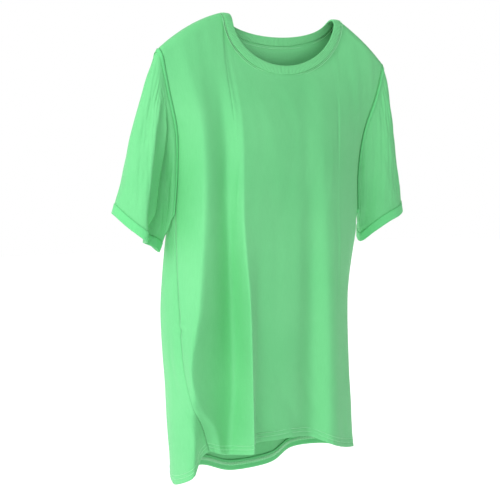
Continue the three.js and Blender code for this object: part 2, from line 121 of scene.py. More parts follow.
BACK_LINES = [
    edge(-684, BACK_ARMHOLE, RIGHT_SIDE, -1),
    fold(1.0, -694, (-214, 22), (-212, 22), (-204, 42), (-188, 32), (-198, 15), (-200, -10), (-168, -16),
         extra=[(-615, -196, -27), (-645, -186, -33)]),
    fold(0.8, -715, (-200, 21), (-200, 21), (-194, 44), (-189, 38), (-199, 25), (-201, 2), (-194, -37),
         extra=[(-615, -200, -14), (-645, -196, -32)]),
    fold(1.0, -735, (-182, 20), (-182, 20), (-180, 45), (-188, 46), (-199, 38), (-201, 20), (-197, 8)),
    fold(1.0, -728, (-160, 18), (-160, 18), (-155, 45), (-179, 57), (-193, 58), (-189, 53), (-182, 48)),
    fold(1.0, -722, (-105, 12), (-105, 12), (-105, 42), (-115, 64), (-120, 68), (-120, 66), (-115, 64)),
    fold(1.0, -741, (-35, 12), (-35, 12), (-35, 40), (-40, 66), (-40, 72), (-40, 74), (-40, 76)),
    fold(1.0, -732, (20, 12), (20, 12), (20, 38), (20, 58), (20, 60), (20, 56), (20, 54)),
    fold(1.0, -716, (85, 12), (85, 12), (85, 42), (82, 66), (80, 70), (80, 72), (80, 74)),
    fold(1.0, -712, (160, 18), (160, 18), (155, 44), (142, 58), (138, 62), (132, 62), (125, 62)),
    edge(-714, BACK_ARMHOLE, LEFT_SIDE, 1),
]
print("fold lines:", len(FRONT_LINES), "in front,", len(BACK_LINES), "behind")

# %% Curves


def mix(a, b, t):
    """A straight blend from a to b."""
    return a + (b - a) * t


def smooth(v, low, high):
    """0 below low, 1 above high, and an S-shaped rise between them."""
    t = np.clip((v - low) / (high - low), 0, 1)
    return t * t * (3 - 2 * t)


def bump(v, centre, width):
    """A bell curve, 1 at centre and 0.37 a width away."""
    return np.exp(-(((v - centre) / width) ** 2))


def through(places, values, bends, at):
    """A cubic through values set at places, read at the array at. The slope at each place
    is the mean of the slopes beside it, each weighted by the other span, times its bend."""
    places = np.asarray(places, float)
    values = np.asarray(values, float)
    if values.ndim == 2:
        values = values.reshape(len(places), *[1] * np.ndim(at), -1)
    values = np.broadcast_to(values, (len(places), *np.shape(at), values.shape[-1]))
    at = np.clip(at, places[0], places[-1])
    span = np.diff(places).reshape(-1, *[1] * (values.ndim - 1))
    rise = np.diff(values, axis=0) / span
    inner = (rise[:-1] * span[1:] + rise[1:] * span[:-1]) / (span[:-1] + span[1:])
    slope = np.concatenate([rise[:1], inner, rise[-1:]])
    slope = slope * np.reshape(bends, (-1,) + (1,) * (values.ndim - 1))
    k = np.clip(np.searchsorted(places, at, side="right") - 1, 0, len(places) - 2)
    pick = lambda table, i: np.take_along_axis(table, i[None, ..., None], axis=0)[0]
    width = np.diff(places)[k][..., None]
    f = ((at - places[k])[..., None]) / width
    g, h = f * f, f * f * f
    return (pick(values, k) * (2 * h - 3 * g + 1) + pick(slope, k) * width * (h - 2 * g + f)
            + pick(values, k + 1) * (3 * g - 2 * h) + pick(slope, k + 1) * width * (h - g))


def along(knots, z):
    """The x and y of a line of knots at heights z."""
    rising = np.array(knots[::-1], float)
    return through(rising[:, 0], rising[:, 1:], np.ones(len(rising)), z)


def line_at(line, z):
    """The x and y of a fold line, or of a panel's edge, at heights z."""
    if "knots" in line:
        return along(line["knots"], z)
    upper = along(line["armhole"], z) * [line["sign"], 1]
    return np.where((z < ARMPIT[0])[..., None], along(line["side"], z), upper)


# %% [markdown]
# ## The shoulders and the neck
# Each shoulder falls away from the neck in a gentle curve. The front and back panels roll
# over it like cloth over a narrow hanger, and meet in the shoulder seam. The neck seam is
# half an ellipse in front and a shallower half behind.

# %% Shoulder line and neck
NECK_HALF_WIDTH, FRONT_NECK_DROP, BACK_NECK_DROP = 118, 93, 47
BAND_WIDTH, BAND_THICKNESS = 14, 2.4
SHOULDER_TIP_X, SHOULDER_TIP_Y = 226, 11
RIDGE_Y, RIDGE_RADIUS = -2, 14


def shoulder_height(x):
    """Height of the shoulder line: a slope that steepens towards the tip. The wearer's left
    shoulder, at +x, droops a little lower than the right."""
    out = np.maximum(0, np.abs(x) - NECK_HALF_WIDTH)
    return np.where(x < 0, -0.25 * out - 0.0027 * out * out, -0.49 * out - 0.0013 * out * out)


def ridge_y(x):
    """How far back the shoulder line is: straight from the neck to the tip."""
    share = np.clip((np.abs(x) - NECK_HALF_WIDTH) / (SHOULDER_TIP_X - NECK_HALF_WIDTH), 0, 1)
    return mix(RIDGE_Y, SHOULDER_TIP_Y, share)


def round_over(below):
    """A quarter circle: 0 on the ridge, 1 once the cloth is a radius below it."""
    return np.sqrt(1 - (1 - np.clip(below / RIDGE_RADIUS, 0, 1)) ** 2)


# %% [markdown]
# ## A panel as a surface
# A point on a panel has two parameters: its place across, from 0 at the wearer's right
# seam to 1 at the left, and its height. At that height every fold line gives one point,
# and a cubic through those points is the cross-section. Past each side seam the cubic
# borrows the other panel's first fold, so that the cloth runs smoothly round the body.

# %% The panel's formula
REFERENCE_HEIGHTS = np.array([-120.0, -330.0, -450.0, -585.0, -680.0])


class Panel:
    def __init__(self, lines, neck_drop):
        self.lines, self.neck_drop = lines, neck_drop
        self.bends = [line["bend"] for line in lines]
        rows = np.array([line_at(line, REFERENCE_HEIGHTS) for line in lines])
        gaps = np.linalg.norm(np.diff(rows, axis=0), axis=-1).mean(axis=1)
        self.girth = gaps.sum()
        self.places = np.concatenate([[0], np.cumsum(gaps) / gaps.sum()])
        self.twin = self

    def hem(self, s):
        """Height of the hem at place s: a cubic through the hem of every fold line."""
        return through(self.places, [[line["hem"]] for line in self.lines], self.bends, s)[..., 0]

    def at(self, s, z):
        """The cloth at place s and height z: a cubic through every fold line's point at that
        height, with y drawn to the shoulder ridge over the last few millimetres."""
        row = [line_at(line, z) for line in self.lines]
        joined = (1 - smooth(z, ARMPIT[0] - 40, ARMPIT[0]))[..., None]
        other = self.twin.lines
        first = mix(2 * row[0] - row[1], line_at(other[1], z), joined)
        last = mix(2 * row[-1] - row[-2], line_at(other[-2], z), joined)
        places = [-self.places[1], *self.places, 2 - self.places[-2]]
        flat = through(places, [first, *row, last], [1, *self.bends, 1], s)
        x, y = flat[..., 0], flat[..., 1]
        y = mix(ridge_y(x), y, round_over(shoulder_height(x) - z))
        return np.stack([x, y, z], axis=-1)

    def top(self, s):
        """Height of the upper edge at place s: the shoulder line, or the neck seam inside it.
        The cloth leans as it rises, so a few rounds settle which x the place reaches."""
        z = np.full(np.shape(s), -20.0)
        for _ in range(8):
            x = self.at(s, z)[..., 0]
            share = np.clip(np.abs(x) / NECK_HALF_WIDTH, 0, 1)
            z = np.where(share < 1, -self.neck_drop * np.sqrt(1 - share**2), shoulder_height(x))
        return z

    def place_of(self, x):
        """The place whose upper edge is at x, found by halving."""
        low, high = 0.0, 1.0
        for _ in range(40):
            mid = (low + high) / 2
            low, high = (mid, high) if self.at(np.array(mid), shoulder_height(x))[0] < x else (low, mid)
        return (low + high) / 2


FRONT, BACK = Panel(FRONT_LINES, FRONT_NECK_DROP), Panel(BACK_LINES, BACK_NECK_DROP)
FRONT.twin, BACK.twin = BACK, FRONT
print("girth, mm:", round(FRONT.girth), "in front,", round(BACK.girth), "behind")

# %% [markdown]
# ## From a grid of points to a piece of cloth
# Every piece of cloth here is a thin closed shell: the grid of points pushed out along its
# normals for the face of the cloth and in for its back, with a rim all round. Real cloth
# has both faces too, and both show at the neck, the hem and the sleeve ends. The shell
# keeps a UV map in metres of cloth, shared out evenly over the grid's columns and rows, so
# the knit runs along the cloth and not through it.

# %% Grids and shells


def normals_of(grid, closed=False):
    """Unit normals of a grid: the step along its columns crossed with the step up its rows."""
    if closed:
        u = np.roll(grid, -1, axis=1) - np.roll(grid, 1, axis=1)
    else:
        u = np.gradient(grid, axis=1)
    n = np.cross(u, np.gradient(grid, axis=0))
    return n / np.maximum(np.linalg.norm(n, axis=-1, keepdims=True), 1e-9)


def run(grid, axis):
    """Distance along a grid's lines from their start, in the grid's own units."""
    step = np.linalg.norm(np.diff(grid, axis=axis), axis=-1)
    pad = np.zeros_like(np.take(step, [0], axis=axis))
    return np.concatenate([pad, np.cumsum(step, axis=axis)], axis=axis)


def make_mesh(name, points, faces, uv, material, flat_from=None):
    """A mesh object in metres with a UV for every face corner, smooth shaded apart from the
    faces from flat_from on, which are a rim."""
    mesh = bpy.data.meshes.new(name)
    faces = np.asarray(faces, np.int32)
    mesh.vertices.add(len(points))
    mesh.vertices.foreach_set("co", (points * MM).astype(np.float32).ravel())
    mesh.loops.add(faces.size)
    mesh.loops.foreach_set("vertex_index", faces.ravel())
    mesh.polygons.add(len(faces))
    mesh.polygons.foreach_set("loop_start", np.arange(0, faces.size, faces.shape[1], dtype=np.int32))
    mesh.update(calc_edges=True)
    mesh.polygons.foreach_set("use_smooth", np.arange(len(faces)) < (flat_from or len(faces)))
    layer = mesh.uv_layers.new(name="cloth")
    layer.data.foreach_set("uv", (np.asarray(uv) * MM).astype(np.float32).ravel())
    mesh.validate()
    obj = bpy.data.objects.new(name, mesh)
    bpy.context.scene.collection.objects.link(obj)
    mesh.materials.append(material)
    return obj


def cloth(name, grid, outer, inner, facing, material, closed=False, scale=None):
    """A closed shell between two offsets of a grid along its normals. facing is 1 where the
    grid's normals point out of the garment and -1 where they point in."""
    rows, count = grid.shape[:2]
    normals = normals_of(grid, closed) * facing
    points = np.concatenate([(grid + normals * lift).reshape(-1, 3) for lift in (outer, inner)])
    spans = count if closed else count - 1
    width, height = scale or (run(grid, 1)[rows // 2, -1], run(grid, 0)[-1, count // 2])
    i, j = np.meshgrid(np.arange(spans), np.arange(rows - 1))
    i, j = i.ravel(), j.ravel()

    def corner(di, dj, side=0):
        return side * rows * count + (j + dj) * count + (i + di) % count

    def flat(di, dj):
        return np.stack([(i + di) / spans * width, (j + dj) / (rows - 1) * height], axis=-1)

    order = [(0, 0), (1, 0), (1, 1), (0, 1)]
    face = np.stack([corner(*c) for c in order], axis=-1)
    back = np.stack([corner(*c, side=1) for c in order[::-1]], axis=-1)
    face_uv = np.stack([flat(*c) for c in order], axis=1)
    back_uv = np.stack([flat(*c) for c in order[::-1]], axis=1)
    faces, uvs, sides = [face, back], [face_uv, back_uv], 2 * len(face)

    def rim(a, b, uv):
        """Quads from the face's border a to b down to the same border of the back."""
        faces.append(np.stack([a, a + rows * count, b + rows * count, b], axis=-1))
        uvs.append(np.repeat(uv[:, None, :], 4, axis=1))

    n = np.arange(spans)
    base = n / spans * width
    rim(n, (n + 1) % count, np.stack([base, base * 0], axis=-1))
    top = (rows - 1) * count
    rim(top + (n + 1) % count, top + n, np.stack([base, base * 0 + height], axis=-1))
    if not closed:
        m = np.arange(rows - 1)
        up = m / (rows - 1) * height
        rim((m + 1) * count, m * count, np.stack([up * 0, up], axis=-1))
        rim(m * count + count - 1, (m + 1) * count + count - 1, np.stack([up * 0 + width, up], axis=-1))
    faces, uvs = np.concatenate(faces), np.concatenate(uvs)
    if facing < 0:
        faces, uvs = faces[:, ::-1], uvs[:, ::-1]
    return make_mesh(name, points, faces, uvs, material, flat_from=sides)


# %% [markdown]
# ## Stitches
# A row of machine stitching is a line of short raised threads that sink into the cloth at
# both ends. Each stitch here is a small bent bead: a few rings round a line from one
# needle hole to the next, arched along the cloth's normal.

# %% Stitch maker
STITCH_PITCH = 2.9


def stitches(name, starts, ends, normals, radius, arch, material):
    """Beads from starts to ends: rings of six points whose radius and height over the cloth
    follow half a sine wave, so each thread comes up out of one hole and dives into the next."""
    rings, around = 5, 6
    t = np.linspace(0, 1, rings)[None, :, None, None]
    a = np.linspace(0, 2 * np.pi, around, endpoint=False)[None, None, :, None]
    p, q, n = starts[:, None, None, :], ends[:, None, None, :], normals[:, None, None, :]
    forward = (q - p) / np.linalg.norm(q - p, axis=-1, keepdims=True)
    side = np.cross(n, forward)
    swell = np.sin(np.pi * np.clip(t, 0.04, 0.96))
    points = mix(p, q, t) + n * (arch * np.sin(np.pi * t) - 0.1)
    points = points + radius * swell**0.5 * (side * np.cos(a) + n * np.sin(a))
    count = len(starts)
    k, r, c = np.meshgrid(np.arange(count), np.arange(rings - 1), np.arange(around), indexing="ij")
    k, r, c = k.ravel(), r.ravel(), c.ravel()
    at = lambda r, c: (k * rings + r) * around + c % around
    faces = np.stack([at(r, c), at(r + 1, c), at(r + 1, c + 1), at(r, c + 1)], axis=-1)
    one = np.arange(count)[:, None] * rings * around
    caps = [one + np.array([[0, 1, 2, 3]]), one + np.array([[0, 3, 4, 5]])]
    last = one + (rings - 1) * around
    caps += [last + np.array([[3, 2, 1, 0]]), last + np.array([[5, 4, 3, 0]])]
    faces = np.concatenate([faces, *caps])
    uv = np.stack([points.reshape(-1, 3)[faces][..., 0], points.reshape(-1, 3)[faces][..., 2]], axis=-1)
    return make_mesh(name, points.reshape(-1, 3), faces, uv, material)


def even(path, normals, pitch):
    """Points at an even pitch along a path, with the path's normals there."""
    length = run(path[None], 1)[0]
    at = np.linspace(0, length[-1], max(2, int(length[-1] / pitch)) + 1)
    pick = lambda table: np.stack([np.interp(at, length, table[:, c]) for c in range(3)], axis=-1)
    n = pick(normals)
    return pick(path), n / np.linalg.norm(n, axis=-1, keepdims=True)


def stitch_row(name, path, normals, material, pitch=STITCH_PITCH, fill=0.82, radius=0.42, arch=0.35):
    """One straight row of stitches along a path that lies on the cloth."""
    points, n = even(path, normals, pitch)
    return stitches(name, points[:-1], mix(points[:-1], points[1:], fill), n[:-1], radius, arch, material)


# %% [markdown]
# ## Knit materials
# Jersey is a knit of tiny V-shaped loops in columns. From a step away it reads as a soft
# matt surface with a pale bloom where it turns from the eye, so the shader has a fine
# bump of loops, a little sheen, and slow changes of colour as dyed cloth has. Its colour
# also carries painted shade, darker in the valleys between the loops. The loops follow
# the cloth's own UV map, so they are about the same size on every piece, but they are
# narrower where a panel's columns crowd together and wider in between.

# %% Node helper


class Nodes:
    """Short calls for a material's nodes: every argument is a number or another output."""

    def __init__(self, name):
        self.material = bpy.data.materials.new(name)
        self.material.use_nodes = True
        self.tree = self.material.node_tree
        self.shader = self.tree.nodes["Principled BSDF"]

    def add(self, kind, inputs=None, out=0, **settings):
        node = self.tree.nodes.new(kind)
        for key, value in settings.items():
            setattr(node, key, value)
        for key, value in (inputs or {}).items():
            self.put(node.inputs[key], value)
        return node.outputs[out]

    def put(self, socket, value):
        if isinstance(value, bpy.types.NodeSocket):
            self.tree.links.new(value, socket)
        else:
            socket.default_value = value

    def math(self, operation, a, b=0.0, c=0.0):
        """a and b joined by the operation, and c added where it is MULTIPLY_ADD."""
        return self.add("ShaderNodeMath", {0: a, 1: b, 2: c}, operation=operation)

    def noise(self, where, scale, detail=2.0, rough=0.5):
        inputs = {"Vector": where, "Scale": scale, "Detail": detail, "Roughness": rough}
        return self.add("ShaderNodeTexNoise", inputs)

    def stretch(self, where, scale):
        return self.add("ShaderNodeMapping", {"Vector": where, "Scale": scale})

    def range(self, value, low, high, to_low, to_high):
        return self.add("ShaderNodeMapRange", {0: value, 1: low, 2: high, 3: to_low, 4: to_high})

    def mix(self, share, a, b, blend="MIX"):
        node = self.tree.nodes.new("ShaderNodeMix")
        node.data_type, node.blend_type = "RGBA", blend
        for index, value in ((0, share), (6, a), (7, b)):
            self.put(node.inputs[index], value)
        return node.outputs[2]


# %% Jersey, rib and thread
def rgb(r, g, b):
    return (r, g, b, 1.0)


def knit(name, deep, light, wale, course, loop_depth, rib=0.0, rib_depth=0.0, sheen=0.18, rough=0.68):
    """Jersey: columns of loops a wale wide and a course high. The height is a rounded column
    times a sine that runs up it, shifted by the distance from the column's middle, which
    leans both halves of each loop into a V. rib adds broader ridges that far apart. The
    base colour is multiplied by that height as painted shade: darker in the valleys between
    the loops and a little lighter on their tops."""
    m = Nodes(name)
    uv = m.add("ShaderNodeUVMap", uv_map="cloth")
    split = m.tree.nodes.new("ShaderNodeSeparateXYZ")
    m.put(split.inputs[0], uv)
    u, v = split.outputs[0], split.outputs[1]
    off = m.math("ABSOLUTE", m.math("SUBTRACT", m.math("FRACT", m.math("MULTIPLY", u, 1 / wale)), 0.5))
    column = m.math("SUBTRACT", 1.0, m.math("POWER", m.math("MULTIPLY", off, 2.0), 3.0))
    phase = m.math("MULTIPLY", m.math("ADD", m.math("MULTIPLY", v, 1 / course), off), 2 * np.pi)
    loops = m.math("MULTIPLY_ADD", m.math("SINE", phase), 0.25, 0.6)
    here = m.add("ShaderNodeTexCoord", out=3)
    fuzz = m.noise(here, 900, 3, 0.6)
    height = m.math("MULTIPLY_ADD", fuzz, 0.5, m.math("MULTIPLY", column, loops))
    normal = m.add("ShaderNodeBump", {"Strength": 0.55, "Distance": loop_depth, "Height": height})
    if rib:
        ridge = m.math("SINE", m.math("MULTIPLY", u, 2 * np.pi / rib))
        ridges = {"Strength": 0.8, "Distance": rib_depth, "Height": ridge, "Normal": normal}
        normal = m.add("ShaderNodeBump", ridges)
    crumple = m.noise(m.stretch(here, (1.0, 1.0, 0.35)), 38, 3, 0.55)
    creases = {"Strength": 0.35, "Distance": 0.0016, "Height": crumple, "Normal": normal}
    normal = m.add("ShaderNodeBump", creases)
    cloudy = m.noise(here, 9, 2, 0.5)
    streaks = m.noise(m.stretch(uv, (900.0, 60.0, 1.0)), 1.0, 2, 0.5)
    share = m.math("ADD", m.math("MULTIPLY", cloudy, 0.6), m.math("MULTIPLY", streaks, 0.4))
    colour = m.mix(m.range(share, 0.35, 0.65, 0.0, 1.0), rgb(*deep), rgb(*light))
    # Painted shade: the loop height darkens the base colour in the valleys between the loops and lightens it
    # a little on their tops.
    shade = m.range(height, 0.0, 1.0, 0.86, 1.03)
    painted_loop_shade = m.add("ShaderNodeCombineColor", {0: shade, 1: shade, 2: shade})
    colour = m.mix(1.0, colour, painted_loop_shade, "MULTIPLY")
    m.put(m.shader.inputs["Base Color"], colour)
    m.put(m.shader.inputs["Roughness"], m.range(fuzz, 0.3, 0.7, rough - 0.05, rough + 0.05))
    m.put(m.shader.inputs["Normal"], normal)
    m.shader.inputs["Sheen Weight"].default_value = sheen
    m.shader.inputs["Sheen Roughness"].default_value = 0.5
    m.shader.inputs["Sheen Tint"].default_value = rgb(0.7, 1.0, 0.75)
    m.shader.inputs["Specular IOR Level"].default_value = 0.4
    return m.material


# %% The four finishes
WALE, COURSE = 0.0008, 0.0006
DEEP, LIGHT = (0.135, 0.580, 0.220), (0.160, 0.618, 0.246)
JERSEY = knit("light green jersey", DEEP, LIGHT, WALE, COURSE, 0.00022)
INSIDE = knit("jersey, purl side", (0.120, 0.61, 0.215), (0.142, 0.65, 0.24), WALE, COURSE, 0.00026)
RIB = knit("green rib", (0.15, 0.64, 0.24), (0.175, 0.68, 0.265), WALE, COURSE, 0.0002,
           rib=0.0022, rib_depth=0.0005)
THREAD = knit("green thread", (0.34, 0.80, 0.44), (0.40, 0.84, 0.50), 0.0004, 0.0009, 0.0001,
              sheen=0.2, rough=0.6)
print("materials:", [m.name for m in (JERSEY, INSIDE, RIB, THREAD)])

# %% [markdown]
# ## The front and the back
# The grid has a column every few millimetres, with extra ones at the neck points, and
# rows that crowd together at the hem and over the shoulder. The face then gets what
# sewing does to cloth: a low ridge along each seam, and a flat, faintly rippled hem. A
# short crease crosses the wearer's right side seam half way down.

# %% Panel grids
CLOTH, FACING, FACING_GAP = 0.9, 0.8, 0.2
FRONT_LENGTH, BACK_LENGTH = 690, 720
HEM_FOLD, HEM_ROWS = 18, (14, 8)
SEAM_RIDGE_AT, SEAM_RIDGE_WIDTH = 5, 3
HEM_RIPPLES = [(11, 60, 0.35), (27, 90, 0.5)]
CLOTH_RIPPLES = [(60, 420, 0.55), (34, 260, 0.2)]
SIDE_CREASE = ((-484, 1.8), (-493, -1.6))
SIDE_CREASE_HEIGHT, SIDE_CREASE_LENGTH = 4.5, 13


def ripple(u, v, waves, seed):
    """A sum of plane waves with random turns and phases; waves are (length along u, length
    along v, height). Slow changes of phase keep the folds from looking ruled."""
    r = np.random.default_rng(seed)
    total = np.zeros(np.broadcast(u, v).shape)
    for along_u, along_v, height in waves:
        for _ in range(3):
            a, b, c, d = r.uniform(0, 2 * np.pi, 4)
            fu, fv = r.uniform(0.7, 1.3, 2) * r.choice([-1, 1], 2)
            drift = 1.3 * np.sin(v / along_v * 2.1 + c) + 1.3 * np.sin(u / along_u * 0.9 + d)
            total = total + height / 3 * np.sin(2 * np.pi * (fu * u / along_u + fv * v / along_v) + drift + a)
    return total


def places_across(panel, shoulder=34, neck=100):
    """Places of the columns: even over the shoulders, and by a cosine between the neck points."""
    right, left = panel.place_of(-NECK_HALF_WIDTH), panel.place_of(NECK_HALF_WIDTH)
    over = mix(right, left, (1 - np.cos(np.linspace(0, np.pi, neck + 1))) / 2)
    right_part, left_part = np.linspace(0, right, shoulder + 1), np.linspace(left, 1, shoulder + 1)
    return np.concatenate([right_part[:-1], over, left_part[1:]])


def levels_up(rows=210):
    """Shares of the way up: even, but denser at the hem and densest at the shoulder line."""
    t = np.linspace(0, 1, 2001)
    density = 1 + 1.2 * np.exp(-t / 0.035) + 9 * np.exp(-(1 - t) / 0.012)
    total = np.concatenate([[0], np.cumsum((density[1:] + density[:-1]) / 2)])
    return np.interp(np.linspace(0, total[-1], rows), total, t)


def panel_grid(panel, facing, seed):
    """The panel's surface with its sewn detail, as a grid of points: rows from hem to top.
    rise is how far the face stands off the plain surface, a sum of bumps and ripples."""
    s, t = np.meshgrid(places_across(panel), levels_up())
    hem, top = panel.hem(s), panel.top(s)
    grid = panel.at(s, mix(hem, top, t))
    normals = normals_of(grid) * facing
    across, up = run(grid, 1), run(grid, 0)
    right, left, above = across, across[:, -1:] - across, up[-1:] - up
    rise = 0.25 * sum(bump(edge_gap, SEAM_RIDGE_AT, SEAM_RIDGE_WIDTH) for edge_gap in (right, left, above))
    in_hem = 1 - smooth(up, HEM_ROWS[0] - 1, HEM_ROWS[0] + 5)
    rise = rise + in_hem * (0.5 + ripple(across, up, HEM_RIPPLES, seed))
    rise = rise - 0.7 * sum(bump(up, row, 1.5) for row in HEM_ROWS)
    calm = smooth(np.minimum(np.minimum(right, left), above), 2, 30)
    rise = rise + calm * ripple(across, up, CLOTH_RIPPLES, seed + 1)
    crease = sum(height * bump(grid[..., 2], z, SIDE_CREASE_HEIGHT) for z, height in SIDE_CREASE)
    rise = rise + crease * bump(right, 0, SIDE_CREASE_LENGTH)
    return grid + normals * rise[..., None]


front_grid, back_grid = panel_grid(FRONT, 1, 11), panel_grid(BACK, -1, 23)
front = cloth("front", front_grid, 0, -CLOTH, 1, JERSEY, scale=(FRONT.girth, FRONT_LENGTH))
back = cloth("back", back_grid, 0, -CLOTH, -1, JERSEY, scale=(BACK.girth, BACK_LENGTH))
print("panels:", front_grid.shape[:2], back_grid.shape[:2])

# %% [markdown]
# ## Turned-up hems and their stitching
# The bottom edge is folded up inside and held by a twin needle: two straight rows on the
# face, and on the inside one thread that zigzags between them. The turned-up strip lies
# a hair inside the panel.

# %% Body hems


def hem_line(panel, height, facing, count=700):
    """A line on the panel at a height over its hem, with the normals that point outwards."""
    s = np.linspace(0.004, 0.996, count)[None].repeat(3, 0)
    grid = panel.at(s, panel.hem(s) + height + np.array([[-1.0], [0.0], [1.0]]))
    return grid[1], (normals_of(grid) * facing)[1]


def zigzag(name, low, high, normals, material, radius=0.5):
    """A thread that runs from each point of one line to the next point of the other."""
    pair = np.stack([low, high], axis=1).reshape(-1, 3)
    n = np.repeat(normals, 2, axis=0)
    return stitches(name, pair[:-1], pair[1:], n[:-1], radius, 0.25, material)


hems = {}
for side, panel, facing in (("front", FRONT, 1), ("back", BACK, -1)):
    s, t = np.meshgrid(np.linspace(0.003, 0.997, 260), np.linspace(0, 1, 8))
    strip = panel.at(s, panel.hem(s) + mix(0.2, HEM_FOLD, t))
    inner = -CLOTH - FACING_GAP
    made = [cloth(f"{side}_hem_turn", strip, inner, inner - FACING, facing, INSIDE)]
    for row, height in enumerate(HEM_ROWS):
        line, n = hem_line(panel, height, facing)
        made.append(stitch_row(f"{side}_hem_stitches_{row + 1}", line, n, THREAD))
    line, n = hem_line(panel, HEM_ROWS[0] + 0.5, facing)
    high, n_high = even(line, n, STITCH_PITCH)
    line, n = hem_line(panel, HEM_ROWS[1] - 0.5, facing)
    low, n_low = even(line, n, STITCH_PITCH)
    count = min(len(high), len(low))
    depth = inner - FACING - 0.1
    made.append(zigzag(f"{side}_hem_looper", (low + n_low * depth)[:count],
                       (high + n_high * depth)[:count], -n_high[:count], THREAD))
    hems[side] = made
    print(side, "hem pieces:", [o.name for o in made])

# %% [markdown]
# ## Sleeves
# A sleeve is a tube from the oval armhole to the hem ring. Going round it, one parameter
# runs from the underarm over the front, the top and the back; the other runs down it.
# Its head swells a little, as a sleeve cut for a shoulder does. The wearer's right sleeve
# has one deep fold in front, where the cloth behind it hangs over the strip by the seam.

# %% The sleeve's formula
RIGHT_CUFF = [
    (-314, (207, 43, -373)), (-215, (216, 38, -366)), (-135, (234, 42, -358)), (-108, (262, -5, -352)),
    (-86, (281, 14, -332)), (-59, (285, 50, -312)), (-125, (262, 78, -318)), (-205, (232, 74, -340)),
]
LEFT_CUFF = [
    (-314, (211, 43, -369)), (-230, (220, 18, -352)), (-160, (242, 6, -335)), (-108, (264, 7, -326)),
    (-80, (281, 18, -318)), (-68, (288, 44, -311)), (-125, (264, 76, -332)), (-205, (230, 74, -354)),
]
FRONT_FOLD = {1: (-10, 12, 0), 2: (-16, 32, 0), 3: (2, -12, 0)}
TOP_LINE, SLEEVE_SWELL, SLEEVE_FLARE, SLEEVE_FOLD = 5, 5, 2, 16


def rounded_ring(points, turns):
    """A closed smooth curve through points. Each pair of neighbours is joined by a cubic
    whose speed follows the square root of the gaps, which keeps tight corners from looping."""
    points = np.asarray(points, float)
    count = len(points)
    k = np.floor(turns * count).astype(int)
    f = (turns * count - k)[..., None]
    p = [points[(k + d) % count] for d in (-1, 0, 1, 2)]
    d = [np.maximum(np.linalg.norm(p[i + 1] - p[i], axis=-1, keepdims=True), 1e-6) ** 0.5 for i in range(3)]
    a = ((p[1] - p[0]) / d[0] - (p[2] - p[0]) / (d[0] + d[1]) + (p[2] - p[1]) / d[1]) * d[1]
    b = ((p[2] - p[1]) / d[1] - (p[3] - p[1]) / (d[1] + d[2]) + (p[3] - p[2]) / d[2]) * d[1]
    g, h = f * f, f * f * f
    return p[1] * (2 * h - 3 * g + 1) + a * (h - 2 * g + f) + p[2] * (3 * g - 2 * h) + b * (h - g)


def plain_spline(values, at):
    """A smooth curve through evenly spaced values, flat-ended."""
    values = np.asarray(values, float)
    last = len(values) - 1
    k = np.clip(np.floor(at * last).astype(int), 0, last - 1)
    f = at * last - k
    p = [values[np.clip(k + d, 0, last)] for d in (-1, 0, 1, 2)]
    a, b = (p[2] - p[0]) / 2, (p[3] - p[1]) / 2
    g, h = f * f, f * f * f
    return p[1] * (2 * h - 3 * g + 1) + a * (h - 2 * g + f) + p[2] * (3 * g - 2 * h) + b * (h - g)


class Sleeve:
    def __init__(self, cuff, sign, fold):
        self.sign = sign
        self.starts = [at for at, _ in cuff] + [cuff[0][0]]
        self.ends = [(sign * x, y, z) for _, (x, y, z) in cuff]
        folds = [np.multiply(fold.get(i, (0, 0, 0)), (sign, 1, 1)) for i in range(len(cuff))]
        self.plain = [np.subtract(end, part) for end, part in zip(self.ends, folds)]
        self.top, self.tip = TOP_LINE / len(cuff), cuff[TOP_LINE][0]

    def armhole(self, turn):
        """The armhole's edge: up the front to the shoulder tip, then down the back."""
        z = np.clip(plain_spline(self.starts, turn), ARMPIT[0], self.tip)
        xy = np.where((turn < self.top)[..., None], along(FRONT_ARMHOLE, z), along(BACK_ARMHOLE, z))
        y = mix(SHOULDER_TIP_Y, xy[..., 1], round_over(self.tip - z))
        return np.stack([self.sign * xy[..., 0], y, z], axis=-1)

    def length(self, turn):
        return np.linalg.norm(self.armhole(turn) - rounded_ring(self.ends, turn), axis=-1)

    def at(self, turn, t):
        """The cloth at a turn from the underarm and a share t of the way down: a straight
        line to the hem ring, swollen at the head and flared beside the armhole. The deep
        front fold's share of the ring grows in over the upper half."""
        swell = SLEEVE_SWELL * np.sin(np.pi * turn) ** 2 * 6.75 * t * (1 - t) ** 2
        flare = SLEEVE_FLARE * smooth(t * self.length(turn), 0, 12) * (1 - t)
        push = np.stack([self.sign * (swell + flare), swell * 0, 0.35 * swell], axis=-1)
        plain = rounded_ring(self.plain, turn)
        folded = (rounded_ring(self.ends, turn) - plain) * smooth(t, 0, 0.5)[..., None]
        return mix(self.armhole(turn), plain, t[..., None]) + folded + push

    def ring(self, distance, count=400):
        """A ring at a distance up from the hem."""
        turn = np.linspace(0, 1, count, endpoint=False)
        rows = np.array([[-1.0], [0.0], [1.0]]) + distance
        return self.at(turn[None].repeat(3, 0), 1 - rows / self.length(turn))


# %% Sleeve grids
SLEEVE_STITCH_ROW = 12
CREASE_TURN, CREASE_WIDTH, CREASE_DEPTH = 0.285, 0.022, 12
LOBE_TURN, LOBE_WIDTH, LOBE_HEIGHT = 0.352, 0.034, 10
PUCKER_TURN, PUCKER_WIDTH, PUCKER_HEIGHT = 0.36, 0.06, 0.8
WRINKLES = ((3, 1.3, 0.9), (7, -2.2, 0.5), (13, 3.1, 0.22))


